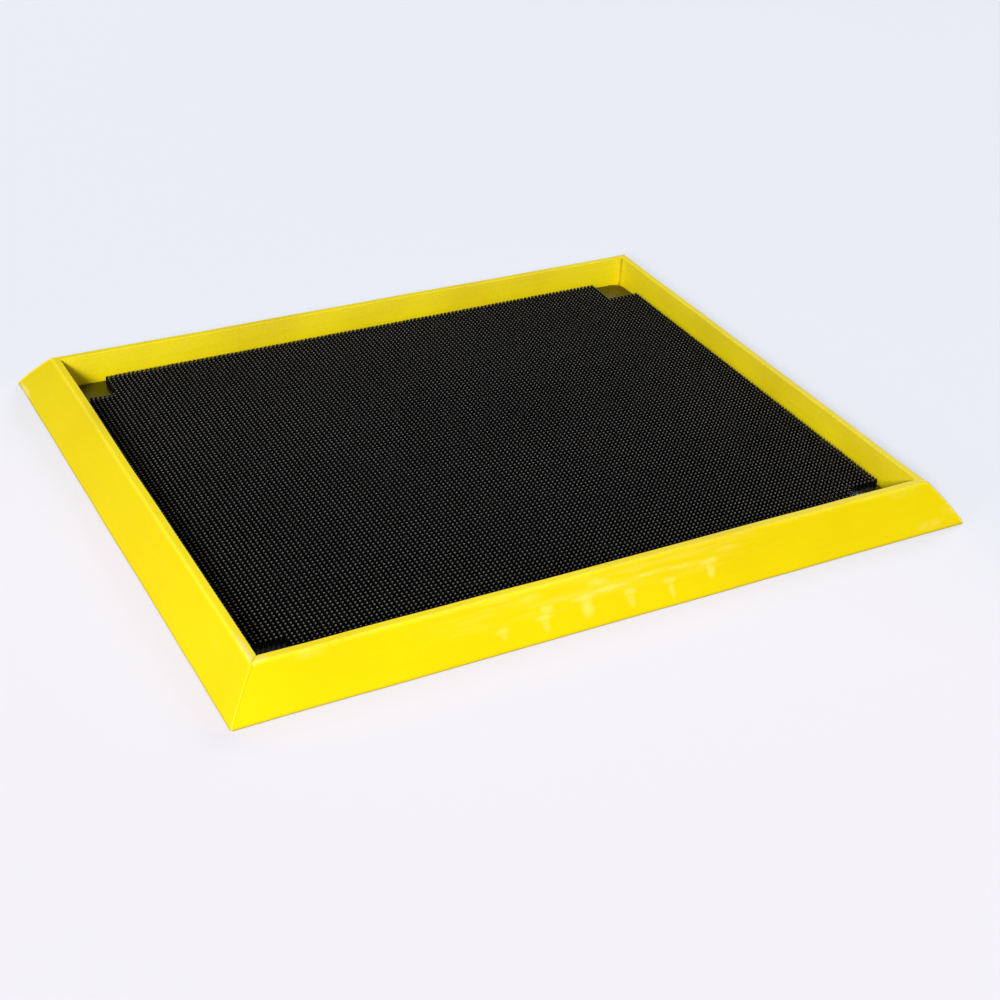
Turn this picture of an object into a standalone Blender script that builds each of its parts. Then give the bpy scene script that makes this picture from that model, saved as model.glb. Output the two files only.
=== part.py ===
"""A low spill containment tray: four mitred ramp rails welded round a floor sheet, with a lift-out finger mat.

The origin is the centre of the footprint, on the floor. +X runs along the front rail, +Y to the rear rail
and +Z up. Everything is in metres.
"""

import math

import bmesh
import bpy
from mathutils import Vector
from mathutils.geometry import delaunay_2d_cdt

# Overall footprint and height
TRAY_WIDTH = 0.9906
TRAY_DEPTH = 0.8128
TRAY_HEIGHT = 0.0508

# Ramp rail section, from the outer toe to the inner wall
RAMP_RUN = 0.0397
RAMP_CROWN = 0.0013
TOE_THICKNESS = 0.0012
LAND_WIDTH = 0.0092
RIDGE_RADIUS = 0.003
LIP_RADIUS = 0.001
GROOVE_COUNT = 3
GROOVE_WIDTH = 0.003
GROOVE_DEPTH = 0.0015

# Floor sheet, and how far it laps into the rebate under each rail
SHEET_THICKNESS = 0.003
SHEET_LAP = 0.015

# Web of weld in each mitre, with a bead that stands proud of the ramps
WELD_THICKNESS = 0.0022
WELD_PROUD = 0.0008
WELD_TOE_CUT = 0.0004

# Sealing fillets at the foot of the walls and up the inner corners
SEAL_LEG = 0.0025
SEAL_HOLLOW = 0.0004

# Finger mat
MAT_PLAY = 0.0012
MAT_BASE_THICKNESS = 0.0057
MAT_CORNER_RADIUS = 0.018
MAT_EDGE_RADIUS = 0.0012
FINGER_HEIGHT = 0.010
FINGER_DIAMETER = 0.0042
FINGER_PITCH = 0.00625
LEAST_FINGER_MARGIN = 0.0045
NOTCH_FINGERS = 8

# Gap left between pieces that touch
FIT_GAP = 0.0003

# Smoothness of the curved stretches
RAMP_SEGMENTS = 10
ARC_SEGMENTS = 4
MAT_CORNER_SEGMENTS = 10
WELD_SEGMENTS = 4

# Sizes that follow from the ones above
DIAGONAL = math.sqrt(2)
RAIL_WIDTH = RAMP_RUN + LAND_WIDTH
REBATE_EDGE = RAIL_WIDTH - SHEET_LAP
REBATE_TOP = SHEET_THICKNESS + FIT_GAP
INNER_HALF_X = TRAY_WIDTH / 2 - RAIL_WIDTH
INNER_HALF_Y = TRAY_DEPTH / 2 - RAIL_WIDTH
MAT_WALL_GAP = FIT_GAP + SEAL_LEG + MAT_PLAY
MAT_HALF_X = INNER_HALF_X - MAT_WALL_GAP
MAT_HALF_Y = INNER_HALF_Y - MAT_WALL_GAP
MAT_BOTTOM = SHEET_THICKNESS + FIT_GAP

# Pairs of axes that a flat outline is filled in, and how the filling is done
SIDE_ON = (1, 2)
END_ON = (0, 2)
FROM_ABOVE = (0, 1)
INSIDE_OUTLINE = 1
NEAR = 1e-7

# Names in quarter turns round the tray, with the direction of each side or corner along X and Y
SIDES = (("front", 0, -1), ("right", 1, 0), ("rear", 0, 1), ("left", -1, 0))
CORNERS = (("front_left", -1, -1), ("front_right", 1, -1), ("rear_right", 1, 1), ("rear_left", -1, 1))


def clear_scene():
    for obj in list(bpy.data.objects):
        bpy.data.objects.remove(obj, do_unlink=True)


def make_material(name, color, roughness):
    material = bpy.data.materials.new(name)
    material.use_nodes = True
    shader = material.node_tree.nodes["Principled BSDF"]
    shader.inputs["Base Color"].default_value = (*color, 1.0)
    shader.inputs["Roughness"].default_value = roughness
    shader.inputs["Metallic"].default_value = 0.0
    material.diffuse_color = (*color, 1.0)
    return material


def add_empty(name, height):
    empty = bpy.data.objects.new(name, None)
    empty.location.z = height
    bpy.context.scene.collection.objects.link(empty)
    return empty


def add_piece(name, mesh, material, parent, location=(0.0, 0.0, 0.0), turn=0.0):
    obj = bpy.data.objects.new(name, mesh)
    obj.parent = parent
    obj.location = location
    obj.rotation_euler.z = turn
    mesh.materials.append(material)
    bpy.context.scene.collection.objects.link(obj)
    return obj


def rounded(corners, segments):
    """The outline through (x, y, radius) corners, with an arc at each corner that has a radius."""
    points = []
    for i, (x, y, radius) in enumerate(corners):
        corner = Vector((x, y))
        if radius == 0:
            points.append(corner)
            continue
        before = (Vector(corners[i - 1][:2]) - corner).normalized()
        after = (Vector(corners[(i + 1) % len(corners)][:2]) - corner).normalized()
        half_angle = before.angle(after) / 2
        centre = corner + (before + after).normalized() * radius / math.sin(half_angle)
        start = corner + before * radius / math.tan(half_angle) - centre
        end = corner + after * radius / math.tan(half_angle) - centre
        start_angle = math.atan2(start.y, start.x)
        sweep = math.remainder(math.atan2(end.y, end.x) - start_angle, math.tau)
        for step in range(segments + 1):
            angle = start_angle + sweep * step / segments
            points.append(centre + radius * Vector((math.cos(angle), math.sin(angle))))
    return points


def add_walls(work, rings):
    """Faces between each ring of points and the next, and the rings as vertices."""
    loops = [[work.verts.new(point) for point in ring] for ring in rings]
    for low, high in zip(loops, loops[1:]):
        for i in range(len(low)):
            work.faces.new((low[i - 1], low[i], high[i], high[i - 1]))
    return loops


def fill(work, axes, outline, hole=()):
    """Triangles across a flat outline, round its hole if it has one, worked out in these two axes."""
    verts = [*outline, *hole]
    flat = [Vector([vert.co[axis] for axis in axes]) for vert in verts]
    loops = [list(range(len(outline)))]
    if hole:
        loops.append(list(range(len(outline), len(verts))))
    _, _, triangles, sources, _, inside = delaunay_2d_cdt(flat, [], loops, INSIDE_OUTLINE, NEAR)
    for triangle, covering in zip(triangles, inside):
        if 1 not in covering:
            work.faces.new([verts[sources[i][0]] for i in triangle])


def finish_mesh(name, work):
    bmesh.ops.recalc_face_normals(work, faces=work.faces)
    mesh = bpy.data.meshes.new(name)
    work.to_mesh(mesh)
    work.free()
    mesh.shade_smooth()
    mesh.set_sharp_from_angle(angle=math.radians(35))
    return mesh


def loft(name, rings, axes):
    """A closed mesh through rings that hold the same number of points, with flat caps seen along these axes."""
    work = bmesh.new()
    loops = add_walls(work, rings)
    fill(work, axes, loops[0])
    fill(work, axes, loops[-1])
    return finish_mesh(name, work)


def mitred_bar(name, section, half_length, setback):
    """A bar along X with this (inset, height) section, its ends cut along the 45 degree mitre planes."""
    rings = []
    for end in (-1, 1):
        rings.append([(end * (half_length - inset - setback), inset, height) for inset, height in section])
    return loft(name, rings, SIDE_ON)


def ramp_point(share, proud):
    """The (inset, height) at this share of the ramp from toe to ridge, and this far out from its surface."""
    rise = TRAY_HEIGHT - TOE_THICKNESS
    slope = math.hypot(RAMP_RUN, rise)
    lift = 4 * RAMP_CROWN * share * (1 - share) + proud
    return RAMP_RUN * share - lift * rise / slope, TOE_THICKNESS + rise * share + lift * RAMP_RUN / slope


def rail_section(groove_count, proud=0.0):
    """The (inset, height) outline up the ramp, over the land, down the inner wall and back underneath."""
    corners = [(0.0, 0.0, 0), (0.0, TOE_THICKNESS, 0)]
    for step in range(1, RAMP_SEGMENTS):
        corners.append((*ramp_point(step / RAMP_SEGMENTS, proud), 0))
    corners.append((RAMP_RUN, TRAY_HEIGHT, RIDGE_RADIUS))
    corners.append((RAIL_WIDTH, TRAY_HEIGHT, LIP_RADIUS))
    corners.append((RAIL_WIDTH, REBATE_TOP, 0))
    corners.append((REBATE_EDGE, REBATE_TOP, 0))
    corners.append((REBATE_EDGE, 0.0, 0))
    for groove in range(groove_count, 0, -1):
        middle = REBATE_EDGE * groove / (groove_count + 1)
        corners.append((middle + GROOVE_WIDTH / 2, 0.0, 0))
        corners.append((middle + GROOVE_WIDTH / 2, GROOVE_DEPTH, 0))
        corners.append((middle - GROOVE_WIDTH / 2, GROOVE_DEPTH, 0))
        corners.append((middle - GROOVE_WIDTH / 2, 0.0, 0))
    return rounded(corners, ARC_SEGMENTS)


def seal_section(floor_height):
    """A slightly hollow fillet between a wall at 0 and a floor at this height, clear of both."""
    points = [(FIT_GAP, floor_height + FIT_GAP)]
    for step in range(ARC_SEGMENTS + 1):
        share = step / ARC_SEGMENTS
        hollow = 4 * SEAL_HOLLOW * share * (1 - share) / DIAGONAL
        across = FIT_GAP + SEAL_LEG * (1 - share) - hollow
        up = FIT_GAP + SEAL_LEG * share - hollow
        points.append((across, floor_height + up))
    return points


def make_rails(material, tray):
    section = rail_section(GROOVE_COUNT)
    setback = (WELD_THICKNESS / 2 + FIT_GAP) * DIAGONAL
    for quarter, (name, x, y) in enumerate(SIDES):
        half_length = (TRAY_WIDTH if y else TRAY_DEPTH) / 2
        mesh = mitred_bar(f"border_{name}", section, half_length, setback)
        location = (x * TRAY_WIDTH / 2, y * TRAY_DEPTH / 2, 0.0)
        add_piece(f"border_{name}", mesh, material, tray, location, quarter * math.pi / 2)


def make_mitre_welds(material, tray):
    rings = []
    for station in range(WELD_SEGMENTS + 1):
        across = WELD_THICKNESS * (station / WELD_SEGMENTS - 0.5)
        proud = WELD_PROUD * (1 - (2 * across / WELD_THICKNESS) ** 2)
        nose = abs(across) + WELD_TOE_CUT
        section = rail_section(0, proud)
        rings.append([(max(inset * DIAGONAL, nose), across, height) for inset, height in section])
    for quarter, (name, x, y) in enumerate(CORNERS):
        location = (x * TRAY_WIDTH / 2, y * TRAY_DEPTH / 2, 0.0)
        turn = (quarter + 0.5) * math.pi / 2
        mesh = loft(f"mitre_weld_{name}", rings, END_ON)
        add_piece(f"mitre_weld_{name}", mesh, material, tray, location, turn)


def make_floor_seals(material, tray):
    section = seal_section(SHEET_THICKNESS)
    for quarter, (name, x, y) in enumerate(SIDES):
        half_length = INNER_HALF_X if y else INNER_HALF_Y
        mesh = mitred_bar(f"floor_seal_{name}", section, half_length, FIT_GAP)
        location = (x * INNER_HALF_X, y * INNER_HALF_Y, 0.0)
        add_piece(f"floor_seal_{name}", mesh, material, tray, location, quarter * math.pi / 2)


def make_corner_seals(material, tray):
    outline = seal_section(0.0)
    low = SHEET_THICKNESS + SEAL_LEG + 2 * FIT_GAP
    high = TRAY_HEIGHT - 2 * LIP_RADIUS
    rings = [[(x, y, height) for x, y in outline] for height in (low, high)]
    for quarter, (name, x, y) in enumerate(CORNERS):
        location = (x * INNER_HALF_X, y * INNER_HALF_Y, 0.0)
        mesh = loft(f"corner_seal_{name}", rings, FROM_ABOVE)
        add_piece(f"corner_seal_{name}", mesh, material, tray, location, quarter * math.pi / 2)


def make_floor_sheet(material, tray):
    half_x = INNER_HALF_X + SHEET_LAP - FIT_GAP
    half_y = INNER_HALF_Y + SHEET_LAP - FIT_GAP
    outline = [(-half_x, -half_y), (half_x, -half_y), (half_x, half_y), (-half_x, half_y)]
    rings = [[(x, y, height) for x, y in outline] for height in (0.0, SHEET_THICKNESS)]
    add_piece("floor_sheet", loft("floor_sheet", rings, FROM_ABOVE), material, tray)


def mat_ring(shrink, height):
    """The mat's rounded outline at this height, drawn in by this much."""
    x = MAT_HALF_X - shrink
    y = MAT_HALF_Y - shrink
    radius = MAT_CORNER_RADIUS - shrink
    corners = [(-x, -y, radius), (x, -y, radius), (x, y, radius), (-x, y, radius)]
    return [(*point, height) for point in rounded(corners, MAT_CORNER_SEGMENTS)]


def finger_reach(mat_half):
    """How far the finger field reaches from the centre, for this half size of mat."""
    gaps = math.floor(2 * (mat_half - LEAST_FINGER_MARGIN) / FINGER_PITCH)
    return gaps * FINGER_PITCH / 2 + FINGER_DIAMETER / 2


def field_ring(height):
    """The outline round all the fingers at this height, with a plain notch at each corner."""
    reach_x = finger_reach(MAT_HALF_X)
    reach_y = finger_reach(MAT_HALF_Y)
    notch = NOTCH_FINGERS * FINGER_PITCH
    points = []
    for _, x, y in CORNERS:
        on_side = (x * reach_x, y * (reach_y - notch), height)
        inner = (x * (reach_x - notch), y * (reach_y - notch), height)
        on_end = (x * (reach_x - notch), y * reach_y, height)
        points.extend((on_side, inner, on_end) if x == y else (on_end, inner, on_side))
    return points


def make_mat(material, mat):
    """One moulding: a base with a rounded top edge, and the finger field on it as the block that it fills."""
    rings = [mat_ring(0.0, 0.0)]
    for step in range(ARC_SEGMENTS + 1):
        angle = math.pi / 2 * step / ARC_SEGMENTS
        shrink = MAT_EDGE_RADIUS * (1 - math.cos(angle))
        rings.append(mat_ring(shrink, MAT_BASE_THICKNESS - MAT_EDGE_RADIUS * (1 - math.sin(angle))))
    work = bmesh.new()
    base = add_walls(work, rings)
    field = add_walls(work, [field_ring(MAT_BASE_THICKNESS), field_ring(MAT_BASE_THICKNESS + FINGER_HEIGHT)])
    fill(work, FROM_ABOVE, base[0])
    fill(work, FROM_ABOVE, base[-1], field[0])
    fill(work, FROM_ABOVE, field[-1])
    add_piece("scraper_mat", finish_mesh("scraper_mat", work), material, mat)


def main():
    clear_scene()
    tray = add_empty("tray", 0.0)
    mat = add_empty("mat", MAT_BOTTOM)
    rail_yellow = make_material("rail_yellow_pvc", (0.92, 0.76, 0.0), 0.42)
    weld_yellow = make_material("weld_yellow_pvc", (0.96, 0.82, 0.03), 0.35)
    sheet_yellow = make_material("sheet_yellow_pvc", (0.80, 0.66, 0.01), 0.5)
    mat_black = make_material("mat_black_rubber", (0.012, 0.012, 0.013), 0.45)
    make_rails(rail_yellow, tray)
    make_mitre_welds(weld_yellow, tray)
    make_floor_sheet(sheet_yellow, tray)
    make_floor_seals(weld_yellow, tray)
    make_corner_seals(weld_yellow, tray)
    make_mat(mat_black, mat)


main()
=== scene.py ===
"""A low spill containment tray with a lift-out fingertip scraper mat, finished round its fixed frame.

Four extruded PVC rails are mitred and welded round a PVC floor sheet, and a moulded rubber mat lies loose
in the basin. The origin is the centre of the footprint, on the floor. +X runs along the front rail, +Y to
the rear rail and +Z up. Everything is in metres.
"""

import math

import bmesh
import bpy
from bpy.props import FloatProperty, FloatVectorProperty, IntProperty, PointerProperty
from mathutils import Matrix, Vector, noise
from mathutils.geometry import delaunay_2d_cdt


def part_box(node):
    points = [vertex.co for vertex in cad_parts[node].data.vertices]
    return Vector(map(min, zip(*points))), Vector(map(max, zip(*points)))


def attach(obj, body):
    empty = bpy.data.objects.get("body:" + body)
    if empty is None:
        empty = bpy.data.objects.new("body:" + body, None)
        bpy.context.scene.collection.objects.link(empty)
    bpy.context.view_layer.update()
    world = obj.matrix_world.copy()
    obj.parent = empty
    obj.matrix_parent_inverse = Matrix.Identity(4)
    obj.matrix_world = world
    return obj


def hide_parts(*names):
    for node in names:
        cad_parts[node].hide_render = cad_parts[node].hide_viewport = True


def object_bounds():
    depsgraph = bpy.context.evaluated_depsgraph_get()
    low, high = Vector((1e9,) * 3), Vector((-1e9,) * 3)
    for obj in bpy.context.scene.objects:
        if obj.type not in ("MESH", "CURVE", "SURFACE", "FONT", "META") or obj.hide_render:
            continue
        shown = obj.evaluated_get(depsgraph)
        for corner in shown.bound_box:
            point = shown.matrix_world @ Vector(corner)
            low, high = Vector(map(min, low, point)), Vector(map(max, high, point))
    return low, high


bl_info = {
    "name": "Spill Containment Tray",
    "version": (1, 0, 0),
    "blender": (4, 5, 0),
    "location": "3D View > Sidebar > Spill Tray",
    "description": "Builds a mitred PVC containment tray and the fingertip rubber mat that lies in it",
    "category": "Add Mesh",
}

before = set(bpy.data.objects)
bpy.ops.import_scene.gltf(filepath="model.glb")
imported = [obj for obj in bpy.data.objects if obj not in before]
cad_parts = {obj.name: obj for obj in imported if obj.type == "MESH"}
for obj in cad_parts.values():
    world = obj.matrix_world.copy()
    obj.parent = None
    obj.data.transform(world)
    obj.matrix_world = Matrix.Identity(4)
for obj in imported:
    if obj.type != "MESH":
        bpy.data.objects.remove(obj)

CAD_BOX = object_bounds()
TRAY_SIZE = CAD_BOX[1] - CAD_BOX[0]
FRONT_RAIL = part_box("border_front")
RAIL_WIDTH = FRONT_RAIL[1].y - FRONT_RAIL[0].y
FLOOR_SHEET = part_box("floor_sheet")
MAT_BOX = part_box("scraper_mat")
INNER_HALF = (TRAY_SIZE.x / 2 - RAIL_WIDTH, TRAY_SIZE.y / 2 - RAIL_WIDTH)

# Names in quarter turns round the tray, with the direction of each side or corner along X and Y
SIDES = (("front", 0, -1), ("right", 1, 0), ("rear", 0, 1), ("left", -1, 0))
CORNERS = (("front_left", -1, -1), ("front_right", 1, -1), ("rear_right", 1, 1), ("rear_left", -1, 1))
QUARTER_TURN = math.pi / 2
DIAGONAL = math.sqrt(2)

# Fineness of the curved stretches
RAMP_STEPS = 24
ARC_STEPS = 6
STATION_SPACING = 0.006

# How a flat outline is filled
SIDE_ON = (1, 2)
END_ON = (0, 2)
FROM_ABOVE = (0, 1)
INSIDE_OUTLINE = 1
NEAR = 1e-7
SHARP_ANGLE = math.radians(32)

# Shares held by the points of a rail, for its finish
RAIL_ZONES = ("tread", "ridge_wear", "toe_wear", "film_zone")


def linear(code):
    """An sRGB hex colour as scene linear red, green and blue."""
    shares = [int(code[start:start + 2], 16) / 255 for start in (1, 3, 5)]
    return tuple(share / 12.92 if share <= 0.04045 else ((share + 0.055) / 1.055) ** 2.4 for share in shares)


def size_property(name, description, default):
    return FloatProperty(name=name, description=description, default=default, min=0.0, precision=5,
                         subtype="DISTANCE", unit="LENGTH")


def colour_property(name, description, code):
    return FloatVectorProperty(name=name, description=description, default=linear(code), min=0.0, max=1.0,
                               subtype="COLOR", size=3)


class SpillTrayRails(bpy.types.PropertyGroup):
    """Section of the border rails and how true they came off the extruder"""

    ramp_run: size_property("Ramp run", "Level distance from the toe to the ridge", 0.0397)
    ramp_crown: size_property("Ramp crown", "How far the ramp bulges at its middle", 0.0013)
    toe_thickness: size_property("Toe thickness", "Thickness of the outer edge", 0.0012)
    toe_radius: size_property("Toe radius", "Rounding of the outer edge", 0.0005)
    ridge_radius: size_property("Ridge radius", "Rounding between the ramp and the land", 0.003)
    lip_radius: size_property("Lip radius", "Rounding at the top of the inner wall", 0.001)
    rebate_width: size_property("Rebate width", "How far the floor sheet laps under the rail", 0.015)
    rebate_gap: size_property("Rebate gap", "Room over the floor sheet", 0.0003)
    groove_width: size_property("Groove width", "Width of each grip groove underneath", 0.003)
    groove_depth: size_property("Groove depth", "Depth of each grip groove underneath", 0.0015)
    groove_count: IntProperty(name="Grooves", description="Grip grooves under each rail", default=3, min=0)
    land_sink: size_property("Land sink", "How far the land dips between its edges", 0.00025)
    toe_wander: size_property("Toe wander", "How far the outer edge strays inwards", 0.0009)
    ridge_wander: size_property("Ridge wander", "How far the ridge strays to either side", 0.0005)
    top_wander: size_property("Top wander", "How far the top strays down", 0.0005)


class SpillTrayWelds(bpy.types.PropertyGroup):
    """Welds in the four mitre joints"""

    web_thickness: size_property("Web thickness", "Thickness of the weld between two rail ends", 0.0022)
    web_sink: size_property("Web sink", "How far the trimmed weld lies under the land", 0.00012)
    toe_cut: size_property("Toe cut", "How far the weld is nipped off at the tip", 0.0004)
    bead_width: size_property("Bead width", "Width of the raised bead down the hip", 0.0031)
    bead_height: size_property("Bead height", "How far the bead stands off the ramps", 0.00035)
    ripple: FloatProperty(name="Ripple", description="Share by which the bead swells", default=0.12, min=0.0)
    ripple_spacing: size_property("Ripple spacing", "Distance between swells", 0.0042)


class SpillTraySeals(bpy.types.PropertyGroup):
    """Fillets run along the foot of the walls and up the inner corners"""

    leg: size_property("Leg", "Reach of the fillet up the wall and over the floor", 0.0025)
    hollow: size_property("Hollow", "How far the fillet is drawn in at its middle", 0.0004)
    contact_gap: size_property("Contact gap", "Gap to the surfaces it seals", 0.0001)
    wander: size_property("Wander", "How far its face strays inwards", 0.0003)
    sheet_corner: size_property("Sheet corner", "Corner radius of the floor sheet", 0.0015)
    sheet_edge: size_property("Sheet edge", "Rounding along the cut edge of the floor sheet", 0.0003)


class SpillTrayMat(bpy.types.PropertyGroup):
    """The moulded fingertip mat"""

    base_thickness: size_property("Base thickness", "Thickness of the mat under the fingers", 0.0057)
    corner_radius: size_property("Corner radius", "Radius of the mat's corners", 0.018)
    edge_radius: size_property("Edge radius", "Rounding of the base's top edge", 0.0012)
    foot_radius: size_property("Foot radius", "Rounding of the base's lower edge", 0.0004)
    finger_diameter: size_property("Finger diameter", "Diameter of a finger at half height", 0.0042)
    finger_pitch: size_property("Finger pitch", "Distance between neighbouring fingers", 0.00625)
    least_margin: size_property("Least margin", "Least distance from a finger's centre to the edge", 0.0045)
    root_sink: size_property("Root sink", "How far a finger's root runs into the base", 0.0002)
    notch_fingers: IntProperty(name="Plain corner", description="Fingers left out on each side of a corner",
                               default=8, min=0)
    band_rows: IntProperty(name="Rows in a band", description="Rows in each finger mesh", default=14, min=1)
    shortest: FloatProperty(name="Shortest finger", description="Least share of the full height",
                            default=0.975, min=0.5, max=1.0)
    sway: FloatProperty(name="Sway", description="Broad lean shared by neighbouring fingers",
                        default=math.radians(4.5), subtype="ANGLE", unit="ROTATION")
    jitter: FloatProperty(name="Jitter", description="Lean of each finger by itself",
                          default=math.radians(1.6), subtype="ANGLE", unit="ROTATION")
    seed: IntProperty(name="Seed", description="Seed of the fingers' lean and height", default=11, min=0)


class SpillTrayFinish(bpy.types.PropertyGroup):
    """Colours of the finishes"""

    rail: colour_property("Rail", "Safety yellow of the extruded rails", "#F3DE00")
    # Painted shade, with some traffic film: the ramps are coloured darker than the land and walls to even out
    # their stronger light
    ramp_shaded: colour_property("Rail, trodden", "The ramps, deepened by traffic film", "#E3CC00")
    rail_deep: colour_property("Rail, deeper", "Where the pigment lies thicker", "#DFC400")
    weld: colour_property("Weld", "Remelted PVC of the welds", "#E4CE02")
    # Painted shade: the beads are coloured dark olive for the shadowed creases they fill, with some dirt
    seal: colour_property("Seal", "Sealing bead in the basin, with dirt in it", "#B59F06")
    char: colour_property("Char", "Specks charred in the welds", "#8A6A00")
    # Painted contact shade along the toe's foot, with some grime
    toe: colour_property("Toe", "Grime on the outer edge", "#94802A")
    sheet: colour_property("Sheet", "Calendered PVC of the floor sheet", "#DDC20C")
    grime: colour_property("Grime", "Brown stains on the floor sheet", "#9C8420")
    smear: colour_property("Smear", "Dried splashes and handling marks", "#F3DF6C")
    glue: colour_property("Glue", "Old adhesive at the ridge", "#F0DC7C")
    rubber: colour_property("Rubber", "Carbon black nitrile rubber", "#040404")
    # Painted highlight on the finger tips, with some dust; the plain base takes it as dust only
    tip_highlight_and_dust: colour_property("Rubber, worn", "Finger tips dulled by shoes", "#817D7A")


class SpillTrayStage(bpy.types.PropertyGroup):
    """Studio floor, light and camera"""

    azimuth: FloatProperty(name="Azimuth", description="Camera's turn round the tray", subtype="ANGLE",
                           unit="ROTATION", default=math.radians(-30.15))
    elevation: FloatProperty(name="Elevation", description="Camera's height over the horizon",
                             subtype="ANGLE", unit="ROTATION", default=math.radians(32.39))
    roll: FloatProperty(name="Roll", description="Camera's turn about its own axis", subtype="ANGLE",
                        unit="ROTATION", default=math.radians(3.68))
    distance: size_property("Distance", "From the camera to the point it looks at", 2.1904)
    aim: FloatVectorProperty(name="Aim", description="Point the camera looks at", subtype="TRANSLATION",
                             unit="LENGTH", default=(-0.0445, -0.1557, 0.025))
    lens: FloatProperty(name="Lens", description="Focal length", subtype="DISTANCE_CAMERA",
                        unit="CAMERA", default=63.36)
    key_light: FloatVectorProperty(name="Key light", description="Place of the soft light by the camera",
                                   subtype="TRANSLATION", unit="LENGTH", default=(-3.50, -4.60, 3.05))
    key_size: size_property("Key size", "Width of the key light", 1.1)
    key_level: FloatProperty(name="Key level", default=0.94, min=0.0,
                             description="Brightness that the key gives a white card facing it at the tray")
    side_light: FloatVectorProperty(name="Side light", description="Place of the low soft light on the left",
                                    subtype="TRANSLATION", unit="LENGTH", default=(-1.41, -0.66, 0.69))
    side_size: size_property("Side size", "Width of the side light", 0.26)
    side_level: FloatProperty(name="Side level", default=0.13, min=0.0,
                              description="Brightness that it gives a white card facing it at the tray")
    back_light: FloatVectorProperty(name="Back light", description="Place of the weak light behind the tray",
                                    subtype="TRANSLATION", unit="LENGTH", default=(3.10, 2.60, 2.50))
    back_size: size_property("Back size", "Width of the back light", 1.4)
    back_level: FloatProperty(name="Back level", default=0.30, min=0.0,
                              description="Brightness that it gives a white card facing it at the tray")
    horizon: FloatProperty(name="Horizon", description="Strength of the room's light from the sides",
                           default=0.20, min=0.0)
    zenith_share: FloatProperty(name="Zenith share", description="Light from above over that from the sides",
                                default=2.2, min=0.0)
    room_swing: FloatProperty(name="Room swing", description="Share by which the camera's side is brighter",
                              default=0.15, min=0.0, max=1.0)
    near_paper: colour_property("Near paper", "Floor in front of the tray", "#F9F6FC")
    far_paper: colour_property("Far paper", "Floor behind the tray", "#EEF1F9")
    room: colour_property("Room", "White walls round the stage", "#F0F2F8")


def settings(group):
    return getattr(bpy.context.scene, "spill_tray_" + group)


def softboxes(stage):
    """The name, place, width and level of each soft light."""
    return [(name, Vector(getattr(stage, name + "_light")), getattr(stage, name + "_size"),
             getattr(stage, name + "_level")) for name in ("key", "side", "back")]


# Node helpers


def add(tree, kind, inputs=(), output=None, **chosen):
    """Adds a node with these settings, sets or links its inputs, and returns one of its outputs.

    Inputs go by name, or without names in the order that the node shows them. A colour gets its alpha here.
    """
    node = tree.nodes.new(kind)
    for name, value in chosen.items():
        setattr(node, name, value)
    for key, value in inputs.items() if isinstance(inputs, dict) else enumerate(inputs):
        shown = enumerate(socket for socket in node.inputs if socket.enabled)
        socket = next(socket for place, socket in shown if key in (place, socket.identifier, socket.name))
        if isinstance(value, bpy.types.NodeSocket):
            tree.links.new(value, socket)
        elif socket.type == "RGBA":
            socket.default_value = (*value, 1.0)
        else:
            socket.default_value = value
    return next((socket for socket in node.outputs if socket.enabled and output in (None, socket.name)), None)


def new_surface(name):
    """An empty material, its tree, and the position on the piece."""
    material = bpy.data.materials.new(name)
    material.use_nodes = True
    tree = material.node_tree
    tree.nodes.clear()
    return material, tree, add(tree, "ShaderNodeTexCoord", output="Object")


def show(tree, **inputs):
    """Ends a material's tree in a Principled shader; each name's underscores stand for spaces."""
    named = {name.replace("_", " "): value for name, value in inputs.items()}
    shader = add(tree, "ShaderNodeBsdfPrincipled", named)
    add(tree, "ShaderNodeOutputMaterial", {"Surface": shader})


# Marks left on the tray: where each one is, how far it reaches along X, Y and Z, and its strength.
# Old adhesive lies along the left ridge, at its front corner, and at the left toe.
GLUE_MARKS = (
    ((-0.4536, -0.345, 0.0505), (0.0042, 0.046, 0.006), 0.9),
    ((-0.4470, -0.3640, 0.0508), (0.0150, 0.0060, 0.006), 0.6),
    ((-0.4930, 0.376, 0.0040), (0.0050, 0.030, 0.006), 0.7),
)
# Scuffs are on the front rail: at the right ridge, toe and tip, and at the left ridge
PALE_MARKS = (
    ((0.4180, -0.371, 0.0450), (0.034, 0.007, 0.009), 0.16),
    ((0.4440, -0.400, 0.0080), (0.030, 0.008, 0.009), 0.22),
    ((0.4780, -0.393, 0.0170), (0.018, 0.010, 0.012), 0.14),
    ((-0.3900, -0.371, 0.0460), (0.026, 0.007, 0.009), 0.18),
)
# Drips down the front ramp: place along X, height and half width of the head, height where the tail ends,
# half width of the tail, and strength
DRIPS = (
    (-0.1675, 0.0205, 0.0130, 0.0090, 0.0065, 0.26),
    (-0.1130, 0.0225, 0.0150, 0.0040, 0.0070, 0.44),
    (-0.0575, 0.0305, 0.0220, 0.0060, 0.0120, 0.50),
    (0.0010, 0.0245, 0.0130, 0.0040, 0.0070, 0.38),
    (0.0560, 0.0250, 0.0120, 0.0030, 0.0070, 0.40),
    (0.1140, 0.0325, 0.0200, 0.0130, 0.0080, 0.44),
)
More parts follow.
